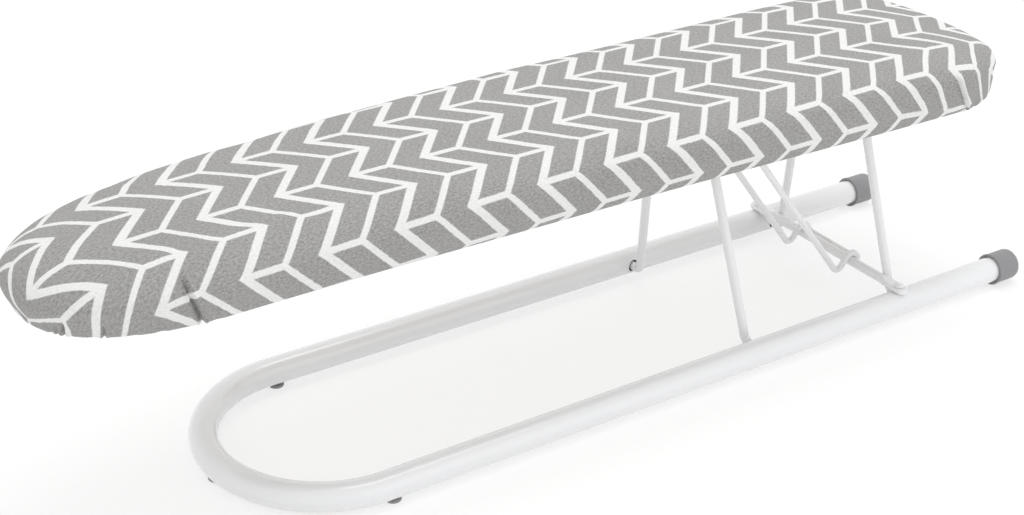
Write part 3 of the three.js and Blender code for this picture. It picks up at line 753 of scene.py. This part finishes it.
COVER_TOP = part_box("fabric_cover")[1].z / MM
CORE_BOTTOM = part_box("board_core")[0].z / MM
CORE_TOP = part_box("board_core")[1].z / MM
CLEARANCE = 0.3
HEM_CORNER_WIDTH, HEM_CORNER_HEIGHT, HEM_RETURN = 5.0, 3.0, 8.0
ELASTIC_INSET, ELASTIC_RADIUS, HEM_TURN = 15.9, 1.6, 3.1
HEM_TOP = CORE_BOTTOM - CLEARANCE
ELASTIC_HEIGHT = HEM_TOP - HEM_TURN
HEM_BOTTOM = ELASTIC_HEIGHT - HEM_TURN
SIDE_FOOT = HEM_BOTTOM + HEM_CORNER_HEIGHT + HEM_TURN
FOAM_INSET = 1.5


def half_width(x):
    along = (x - NOSE_END) / (TAIL_START - NOSE_END)
    bow = math.sin(math.pi * min(max(along, 0), 1))
    return NOSE_HALF_WIDTH + (TAIL_HALF_WIDTH - NOSE_HALF_WIDTH) * along + SIDE_BOW * bow


def half_outline(share, inset):
    """A point of the far half of the outline: share 0 to 1 is the nose, to 2 the side, to 3 the tail."""
    if share < 1:
        turn = math.pi / 2 * share
        x = NOSE_END - (NOSE_END - NOSE_TIP - inset) * math.cos(turn) ** NOSE_POWER
        return x, (half_width(x) - inset) * math.sin(turn) ** NOSE_POWER
    if share < 2:
        x = NOSE_END + (TAIL_START - NOSE_END) * (share - 1)
        return x, half_width(x) - inset
    turn = math.pi / 2 * min(share - 2, 1)
    x = TAIL_START + (TAIL_TIP - TAIL_START - inset) * math.sin(turn) ** TAIL_POWER
    return x, (half_width(x) - inset) * max(math.cos(turn), 0) ** TAIL_POWER


def edge_at(share):
    """The edge's sizes at a share of the half outline."""
    along = min(max(share - 1, 0), 1) * 2
    before, after = (NOSE_EDGE, MIDDLE_EDGE) if along < 1 else (MIDDLE_EDGE, TAIL_EDGE)
    return before.lerp(after, ease(along if along < 1 else along - 1))


# Puckers: where the hem's elastic gathers the cloth, the side folds in. Each is the way round from the
# nose (far side positive, near side negative), its width, depth, how far down it starts and its slant
NEAR_NOSE_PUCKERS = [
    (-110.0, 2.4, 0.4, 36.0, 0.0), (-92.8, 1.0, 3.0, 18.0, -0.30), (-82.0, 2.2, 0.6, 40.0, 0.0),
    (-72.0, 2.0, 0.4, 42.0, 0.1), (-59.6, 0.8, 1.8, 40.0, 0.16), (-49.0, 2.2, 0.4, 42.0, 0.0),
    (-40.8, 0.8, 2.0, 38.0, 0.2), (-37.0, 0.7, 1.3, 41.0, 0.2), (-24.0, 1.6, 0.7, 40.0, -0.1),
    (-8.0, 2.4, 0.5, 42.0, 0.1),
]
FAR_NOSE_PUCKERS = [
    (12.0, 2.2, 0.6, 42.0, 0.1), (30.0, 0.9, 1.6, 38.0, -0.2), (46.0, 2.4, 0.5, 42.0, 0.1),
    (62.0, 0.9, 2.0, 34.0, -0.15), (79.0, 2.3, 0.6, 42.0, 0.0), (96.0, 1.0, 2.6, 26.0, 0.25),
    (112.0, 2.4, 0.5, 44.0, 0.0),
]
# The same for the tail, from its middle
NEAR_TAIL_PUCKERS = [
    (105.0, 0.9, 3.4, 9.0, -0.6), (117.0, 1.8, 0.6, 32.0, -0.1), (92.0, 1.4, 1.0, 28.0, -0.3),
    (76.0, 2.2, 0.6, 32.0, 0.0), (61.0, 0.9, 2.0, 20.0, -0.3), (44.0, 2.2, 0.6, 32.0, 0.1),
    (23.0, 1.4, 1.2, 28.0, 0.0), (5.0, 2.2, 0.5, 34.0, 0.0),
]
FAR_TAIL_PUCKERS = [
    (-14.0, 1.4, 1.0, 30.0, 0.1), (-33.0, 2.2, 0.6, 32.0, 0.0), (-52.0, 1.0, 1.8, 22.0, 0.3),
    (-68.0, 2.2, 0.5, 34.0, 0.0), (-84.0, 1.0, 2.4, 16.0, 0.5), (-101.0, 1.8, 0.8, 30.0, 0.2),
]
DEEP_PUCKER = 1.5
PUCKER_REACH = 4.0
SLANT_FROM = 20.0
PLACES_PER_SHARE = 1000


def deep_folds(puckers):
    """How far round each of the deeper puckers is, from where its list counts, and its slant."""
    return [(abs(centre), slant) for centre, width, depth, start, slant in puckers if depth > DEEP_PUCKER]


def spread_shares():
    """Shares of the half outline, closer together round the nose and the tail, and closest at folds."""
    fine = [i / PLACES_PER_SHARE for i in range(3 * PLACES_PER_SHARE + 1)]
    spots = [half_outline(share, 0) for share in fine]
    travel = [0.0]
    for before, after in zip(spots, spots[1:]):
        travel.append(travel[-1] + math.dist(before, after))
    folds = deep_folds(NEAR_NOSE_PUCKERS + FAR_NOSE_PUCKERS)
    folds += [(travel[-1] - away, slant) for away, slant in deep_folds(NEAR_TAIL_PUCKERS + FAR_TAIL_PUCKERS)]
    steps = [0.0]
    for (x, y), here, there in zip(spots, travel, travel[1:]):
        apart = FINE_STEP if x < FINE_NOSE or x > FINE_TAIL else COARSE_STEP
        if any(abs(here - fold) < PUCKER_REACH + SLANT_FROM * abs(slant) for fold, slant in folds):
            apart = FOLD_STEP
        steps.append(steps[-1] + (there - here) / apart)
    shares, at, count = [], 0, round(steps[-1])
    for i in range(count + 1):
        target = steps[-1] * i / count
        while at < len(steps) - 2 and steps[at + 1] < target:
            at += 1
        part = (target - steps[at]) / (steps[at + 1] - steps[at])
        shares.append(fine[at] + (fine[at + 1] - fine[at]) * part)
    return shares


# Once round the pad: out along the far side from the nose's tip and back along the near side
HALF_SHARES = spread_shares()
ROUND_PLACES = [(share, 1) for share in HALF_SHARES] + [(share, -1) for share in HALF_SHARES[-2:0:-1]]
ROUND_EDGES = [edge_at(share) for share, side in ROUND_PLACES]


def around(i, inset):
    """The plan place of a point round the pad, at an inset from the outline."""
    share, side = ROUND_PLACES[i]
    x, y = half_outline(share, inset)
    return x, 0.0 if share in (HALF_SHARES[0], HALF_SHARES[-1]) else y * side


def outward_ways(ring):
    """Unit vectors square to a closed ring, pointing out of it."""
    ways = []
    for i in range(len(ring)):
        (ax, ay), (bx, by) = ring[i - 1], ring[(i + 1) % len(ring)]
        length = math.hypot(bx - ax, by - ay)
        ways.append((-(by - ay) / length, (bx - ax) / length))
    return ways


# The ways out are read a little inside the outline, where the cloth's pull is even
WAYS_INSET = 6.0
OUTLINE = [around(i, 0) for i in range(len(ROUND_PLACES))]
RIM = [around(i, edge[0]) for i, edge in enumerate(ROUND_EDGES)]
WAYS = outward_ways([around(i, WAYS_INSET) for i in range(len(ROUND_PLACES))])
TRAVEL = [0.0]
for before, after in zip(OUTLINE, OUTLINE[1:]):
    TRAVEL.append(TRAVEL[-1] + math.dist(before, after))
ROUND = TRAVEL[-1] + math.dist(OUTLINE[-1], OUTLINE[0])


def sink_at(x, y, height):
    """How much lower the padding lies at a place than it would on a flat board."""
    up = (height - HEM_BOTTOM) / (COVER_TOP - HEM_BOTTOM)
    to_far = min(max(y, 0) / FAR_NOSE_WIDTH, 1)
    to_nose = max(0, NOSE_SINK_LENGTH - (x - NOSE_TIP)) / NOSE_SINK_LENGTH
    to_tail = max(0, TAIL_SINK_LENGTH - (TAIL_TIP - x)) / TAIL_SINK_LENGTH
    nose_sink = NOSE_HEM_SINK + (NOSE_SINK - NOSE_HEM_SINK + FAR_NOSE_SINK * to_far ** 2) * up
    return nose_sink * to_nose ** 2 + TAIL_SINK * up * to_tail ** 2


# Rows of the cover: the top, the rounded edge, the side, the hem's corner, its way in under the pad, the
# turn round the elastic and the way back
TOP_STEPS, EDGE_STEPS, SIDE_STEPS = 13, 12, 8
CORNER_STEPS, UNDER_STEPS, TURN_STEPS, RETURN_STEPS = 8, 4, 10, 3
TOP_SPREAD = 0.8
DRAWN_IN = 1.7
CORNER_BULGE = 0.3


def top_rows(offset):
    """Rows of places from the middle line out to the rim, with a slight crown."""
    rows = []
    for step in range(TOP_STEPS):
        share = (step / TOP_STEPS) ** TOP_SPREAD
        height = COVER_TOP - offset - CROWN_DROP * share ** 2
        row = []
        for x, y in RIM:
            middle = min(max(x, MIDDLE_NOSE), MIDDLE_TAIL)
            along, across = middle + (x - middle) * share, y * share
            row.append(Vector((along, across, height - sink_at(along, across, height))))
        rows.append(row)
    return rows


def edge_section(edge, offset, foot):
    """Inset and height down the rounded edge and the side, which draws in towards its foot."""
    shoulder = COVER_TOP - CROWN_DROP - edge[1]
    section = []
    for step in range(EDGE_STEPS):
        turn = math.pi / 2 * (1 - step / EDGE_STEPS)
        section.append((edge[0] - (edge[0] - offset) * math.cos(turn),
                        shoulder + (edge[1] - offset) * math.sin(turn)))
    for step in range(SIDE_STEPS + 1):
        share = step / SIDE_STEPS
        section.append((offset + edge[2] * share ** DRAWN_IN, shoulder + (foot - shoulder) * share))
    return section


def hem_section(edge):
    """Round the hem's corner, in under the pad, and back over the elastic."""
    section = []
    corner_end = edge[2] + HEM_CORNER_WIDTH
    corner = [(edge[2], SIDE_FOOT), (edge[2] + CORNER_BULGE, HEM_BOTTOM), (corner_end, HEM_BOTTOM)]
    for step in range(1, CORNER_STEPS + 1):
        t = step / CORNER_STEPS
        weights = ((1 - t) ** 2, 2 * t * (1 - t), t * t)
        section.append(tuple(sum(w * c[k] for w, c in zip(weights, corner)) for k in (0, 1)))
    for step in range(1, UNDER_STEPS):
        section.append((corner_end + (ELASTIC_INSET - corner_end) * step / UNDER_STEPS, HEM_BOTTOM))
    for step in range(TURN_STEPS + 1):
        turn = -math.pi / 2 + math.pi * step / TURN_STEPS
        section.append((ELASTIC_INSET + HEM_TURN * math.cos(turn),
                        ELASTIC_HEIGHT + HEM_TURN * math.sin(turn)))
    for step in range(1, RETURN_STEPS + 1):
        section.append((ELASTIC_INSET - HEM_RETURN * step / RETURN_STEPS, HEM_TOP))
    return section


# A pucker's fold deepens over a length down the side, has a lip on either side, and ends as the hem turns
# in under the pad, between two rows of the section
PUCKER_GROWTH = 10.0
PUCKER_WIDTHS = 5
LIP_SHARE, LIP_AWAY, LIP_WIDTH = 0.32, 2.0, 0.9
FOAM_FOLD_WIDENED = 1.7
FOLDS_FADE_FROM, FOLDS_FADE_OVER = EDGE_STEPS + SIDE_STEPS, 12


def pucker_list():
    """All puckers by the way round from the nose."""
    tail = [(ROUND / 2 * (-1 if start > 0 else 1) + start, *sizes)
            for start, *sizes in NEAR_TAIL_PUCKERS + FAR_TAIL_PUCKERS]
    return NEAR_NOSE_PUCKERS + FAR_NOSE_PUCKERS + tail


PUCKERS = pucker_list()


def pucker_depth(i, down, widened, lip_share):
    """How far the cloth stands out (or, below zero, folds in) at a point round and down from the rim."""
    here = TRAVEL[i] if TRAVEL[i] <= ROUND / 2 else TRAVEL[i] - ROUND
    total = 0.0
    for centre, width, depth, start, slant in PUCKERS:
        away = abs(here - centre - slant * (down - SLANT_FROM)) / (width * widened)
        if away > PUCKER_WIDTHS or down < start:
            continue
        grown = ease(min((down - start) / PUCKER_GROWTH, 1))
        fold = math.exp(-away ** 2)
        lips = math.exp(-((away - LIP_AWAY) / LIP_WIDTH) ** 2)
        total += depth * grown * (lip_share * lips - fold)
    return total


# Where the cloth is pulled askew: a place on the flat cloth, how far round it that reaches, and the pull
PULLS = [
    ((-312.0, -25.0), 26.0, (5.2, 5.0)), ((-285.0, -45.0), 26.0, (-6.1, 1.2)),
    ((-258.0, -62.0), 26.0, (-3.1, -0.8)), ((-290.0, -8.0), 26.0, (5.0, -3.3)),
    ((-290.0, -80.0), 26.0, (3.5, 10.9)), ((268.0, -72.0), 24.0, (11.0, 6.0)),
    ((232.0, -94.0), 22.0, (3.5, 5.5)), ((246.0, -42.0), 20.0, (-5.0, -1.0)),
]


def printed_place(x, y):
    """Where on the print a place of the flat cloth lies, once the cloth is pulled askew."""
    moved = Vector((x, y, 0))
    for (at_x, at_y), reach, (pull_x, pull_y) in PULLS:
        share = math.exp(-((x - at_x) ** 2 + (y - at_y) ** 2) / reach ** 2)
        moved += Vector((pull_x, pull_y, 0)) * share
    return moved


def skirt_section(edge):
    """The cover's section, from the rim down and back in over the elastic."""
    return edge_section(edge, 0, SIDE_FOOT) + hem_section(edge)


def dress_rows(section_of, widened=1.0, lip_share=LIP_SHARE):
    """Rows of places down a section, with its puckers, and how far down the cover each one is."""
    columns = []
    for i, edge in enumerate(ROUND_EDGES):
        section, guide = section_of(edge), skirt_section(edge)
        column, down = [], 0.0
        for k, (inset, height) in enumerate(section):
            before = section[max(k - 1, 0)]
            after = section[min(k + 1, len(section) - 1)]
            out, fall = before[0] - after[0], after[1] - before[1]
            length = math.hypot(out, fall)
            down += math.dist(guide[k - 1], guide[k]) if k else 0
            flattened = min(max(k - FOLDS_FADE_FROM, 0) / FOLDS_FADE_OVER, 1)
            depth = pucker_depth(i, down, widened, lip_share) * (1 - flattened) / length
            x, y = around(i, inset)
            column.append((Vector((x - WAYS[i][0] * fall * depth, y - WAYS[i][1] * fall * depth,
                                   height + out * depth - sink_at(x, y, height))), down))
        columns.append(column)
    return [[column[k] for column in columns] for k in range(len(columns[0]))]


# How the cover swells and slackens over the padding: a short cloth simulation on one column in four,
# with the middle of the top and the hem held, a little more cloth than the shape needs, and each move
# kept small enough to stay clear of the padding. It lets go of the rows from HELD_TOP to HELD_HEM.
SWELL_EVERY, SWELL_FRAMES, SWELL_QUALITY, SWELL_SMOOTHING = 4, 20, 5, 3
SWELL_SLACK, SWELL_PRESSURE = 0.012, 3.0
SWELL_OUT, SWELL_IN = 1.2, 0.3
HELD_TOP, HELD_HEM, HELD_FADE = 8, 36, 4
SWELL_ROWS = slice(HELD_TOP - 1, HELD_HEM + 2)


def cloth_trial(rows):
    """An object over rows of places, joined round, held at its first and last rows."""
    count = len(rows[0])
    faces = []
    for k in range(len(rows) - 1):
        for i in range(count):
            here, beside = k * count + i, k * count + (i + 1) % count
            faces.append((here, beside, beside + count, here + count))
    mesh = bpy.data.meshes.new("cloth_trial")
    mesh.from_pydata([place * MM for row in rows for place in row], [], faces)
    trial = put("cloth_trial", mesh)
    held = trial.vertex_groups.new(name="held")
    for k in range(len(rows)):
        level = k + SWELL_ROWS.start
        from_top = min(max(level - HELD_TOP, 0) / (TOP_STEPS - HELD_TOP), 1)
        from_hem = min(max(HELD_HEM - level, 0) / HELD_FADE, 1)
        held.add(range(k * count, (k + 1) * count), 1 - from_top * from_hem, "REPLACE")
    return trial


def let_go(trial):
    """Runs the cloth, and gives each vertex's capped move along its normal, in millimetres."""
    cloth = trial.modifiers.new("cloth", "CLOTH")
    cloth.settings.vertex_group_mass = "held"
    cloth.settings.quality = SWELL_QUALITY
    cloth.settings.shrink_min = -SWELL_SLACK
    cloth.settings.use_pressure = True
    cloth.settings.uniform_pressure_force = SWELL_PRESSURE
    cloth.settings.effector_weights.gravity = 0
    cloth.collision_settings.use_collision = False
    cloth.point_cache.frame_end = SWELL_FRAMES
    for step in range(1, SWELL_FRAMES + 1):
        bpy.context.scene.frame_set(step)
    settled = trial.evaluated_get(bpy.context.evaluated_depsgraph_get()).to_mesh()
    upright = 1 if trial.data.vertices[0].normal.z > 0 else -1
    moves = []
    for before, after in zip(trial.data.vertices, settled.vertices):
        move = after.co / MM - before.co / MM
        out = min(max(move.dot(before.normal) * upright, -SWELL_IN), SWELL_OUT)
        moves.append(before.normal * upright * out)
    bpy.data.objects.remove(trial)
    bpy.context.scene.frame_set(1)
    return moves


def swell(rows):
    """How far out each place of the cover's rows moves when it is let go as cloth, in millimetres."""
    count = len(rows[0])
    moves = [[Vector((0, 0, 0))] * count for row in rows]
    loose = [row[::SWELL_EVERY] for row in rows[SWELL_ROWS]]
    picked = len(loose[0])
    moved = let_go(cloth_trial(loose))
    for k in range(len(loose)):
        row = moved[k * picked:(k + 1) * picked]
        for again in range(SWELL_SMOOTHING):
            row = [(row[i - 1] + row[i] * 2 + row[(i + 1) % picked]) / 4 for i in range(picked)]
        moves[SWELL_ROWS.start + k] = [
            row[i // SWELL_EVERY].lerp(row[(i // SWELL_EVERY + 1) % picked], (i % SWELL_EVERY) / SWELL_EVERY)
            for i in range(count)
        ]
    return moves


# How near places are that become one: across a closing row, and anywhere
CLOSED_WITHIN, SAME_WITHIN = 0.01 * MM, 0.001 * MM


def sheet_mesh(rows, flats=None):
    """A mesh over rows of places in millimetres, whose first and last rows close where places meet."""
    mesh = bmesh.new()
    layer = mesh.verts.layers.float_vector.new("cloth_flat")
    count = len(rows[0])
    made = [[mesh.verts.new(place * MM) for place in row] for row in rows]
    for row, flat_row in zip(made, flats or []):
        for vertex, place in zip(row, flat_row):
            vertex[layer] = place * MM
    for before, after in zip(made, made[1:]):
        for i in range(count):
            j = (i + 1) % count
            mesh.faces.new((before[i], before[j], after[j], after[i]))
    for row in (made[0], made[-1]):
        bmesh.ops.remove_doubles(mesh, verts=row, dist=CLOSED_WITHIN)
    bmesh.ops.dissolve_degenerate(mesh, edges=mesh.edges, dist=SAME_WITHIN)
    bmesh.ops.recalc_face_normals(mesh, faces=mesh.faces)
    top = max(mesh.faces, key=lambda face: face.calc_center_median().z)
    if top.normal.z < 0:
        bmesh.ops.reverse_faces(mesh, faces=mesh.faces)
    return finished(mesh, "sheet")


SWELL = swell(top_rows(0) + [[place for place, down in row] for row in dress_rows(skirt_section)])
CLOTH_THICKNESS = 0.7 * MM
ELASTIC_SIDES = 14


def swollen(rows):
    """Rows of places moved out as the cloth swelled, as many as there are."""
    return [[place + move for place, move in zip(row, moves)] for row, moves in zip(rows, SWELL)]


def make_cover():
    rows = top_rows(0)
    flats = [[printed_place(p.x, p.y) for p in row] for row in rows]
    for row in dress_rows(skirt_section):
        rows.append([place for place, down in row])
        flats.append([printed_place(x + wx * down, y + wy * down)
                      for (x, y), (wx, wy), (place, down) in zip(RIM, WAYS, row)])
    mesh = sheet_mesh(swollen(rows), flats)
    cover = link("cotton_cover", mesh, COTTON, "board", "fabric_cover", sharp_above=80)
    thick = cover.modifiers.new("cloth thickness", "SOLIDIFY")
    thick.thickness, thick.offset = CLOTH_THICKNESS, -1
    return cover


def make_foam():
    """Foam that lies on the core and hangs down beside its edge."""
    rows = top_rows(FOAM_INSET)
    skirt = dress_rows(lambda edge: edge_section(edge, FOAM_INSET, CORE_BOTTOM), FOAM_FOLD_WIDENED, 0)
    floor_height = CORE_TOP + CLEARANCE
    foot, seat = [], []
    for i, edge in enumerate(ROUND_EDGES):
        x, y = around(i, FOAM_INSET + edge[2] + edge[3])
        foot.append(Vector((x, y, CORE_BOTTOM - sink_at(x, y, CORE_BOTTOM))))
        seat.append(Vector((x, y, floor_height)))
    floor = [[Vector((p.x, p.y, floor_height)) for p in row] for row in reversed(rows)]
    outside = swollen(rows + [[place for place, down in row] for row in skirt])
    mesh = sheet_mesh(outside + [foot, seat] + floor)
    foam = link("padding_cut", mesh, PADDING, "board", "foam_pad")


def make_elastic():
    rings = []
    for i, (wx, wy) in enumerate(WAYS):
        x, y = around(i, ELASTIC_INSET)
        middle = ELASTIC_HEIGHT - sink_at(x, y, ELASTIC_HEIGHT)
        rings.append([
            Vector((x + wx * ELASTIC_RADIUS * math.cos(a), y + wy * ELASTIC_RADIUS * math.cos(a),
                    middle + ELASTIC_RADIUS * math.sin(a))) * MM
            for a in (2 * math.pi * i / ELASTIC_SIDES for i in range(ELASTIC_SIDES))
        ])
    mesh = skin(rings, looped=True)
    return link("elastic_threaded", mesh, ELASTIC, "board", "hem_elastic")


cover = make_cover()
make_foam()
elastic = make_elastic()


# Floor, world and lights
WHITE_SHARE = 0.62
FLOOR_GLOW = 1.08
FLOOR_SIZE = 12
FLOOR_TINT = (0.97, 0.97, 0.97, 1)


def make_floor():
    bpy.ops.mesh.primitive_plane_add(size=FLOOR_SIZE, location=(0, 0, 0))
    floor = bpy.context.object
    floor.name = "studio_floor"
    material = bpy.data.materials.new("studio_floor")
    material.use_nodes = True
    nodes = Nodes(material.node_tree)
    nodes.tree.nodes.clear()
    matt = nodes.node("ShaderNodeBsdfDiffuse", {}, {"Color": FLOOR_TINT})
    white = nodes.node("ShaderNodeEmission", {}, {"Strength": FLOOR_GLOW})
    share = nodes.seen_directly() * WHITE_SHARE
    mix = nodes.node("ShaderNodeMixShader", {}, {0: share, 1: matt, 2: white})
    nodes.fill(nodes.tree.nodes.new("ShaderNodeOutputMaterial"), {"Surface": mix})
    floor.data.materials.append(material)


AMBIENT = 0.83


def make_world():
    world = bpy.data.worlds.new("studio")
    bpy.context.scene.world = world
    world.use_nodes = True
    nodes = Nodes(world.node_tree)
    range_of = {"Value": nodes.seen_directly(), "To Min": AMBIENT, "To Max": 1.0}
    level = nodes.node("ShaderNodeMapRange", {}, range_of)
    nodes.fill(nodes.tree.nodes["Background"], {"Strength": level, "Color": (1, 1, 1, 1)})


def make_light(name, place, aim, size, power):
    light = bpy.data.lights.new(name, "AREA")
    light.shape, light.size, light.energy = "SQUARE", size, power
    lamp = put(name, light)
    lamp.location = place
    lamp.rotation_euler = (Vector(aim) - Vector(place)).to_track_quat("-Z", "Y").to_euler()


make_floor()
make_world()
make_light("overhead_softbox", (0.35, 0.1, 1.8), (0.05, 0, 0.1), 0.9, 7.5)
make_light("low_softbox", (0.5, -1.6, 0.6), (0, 0, 0.08), 1.2, 1.5)
bpy.context.scene.view_settings.view_transform = "Standard"
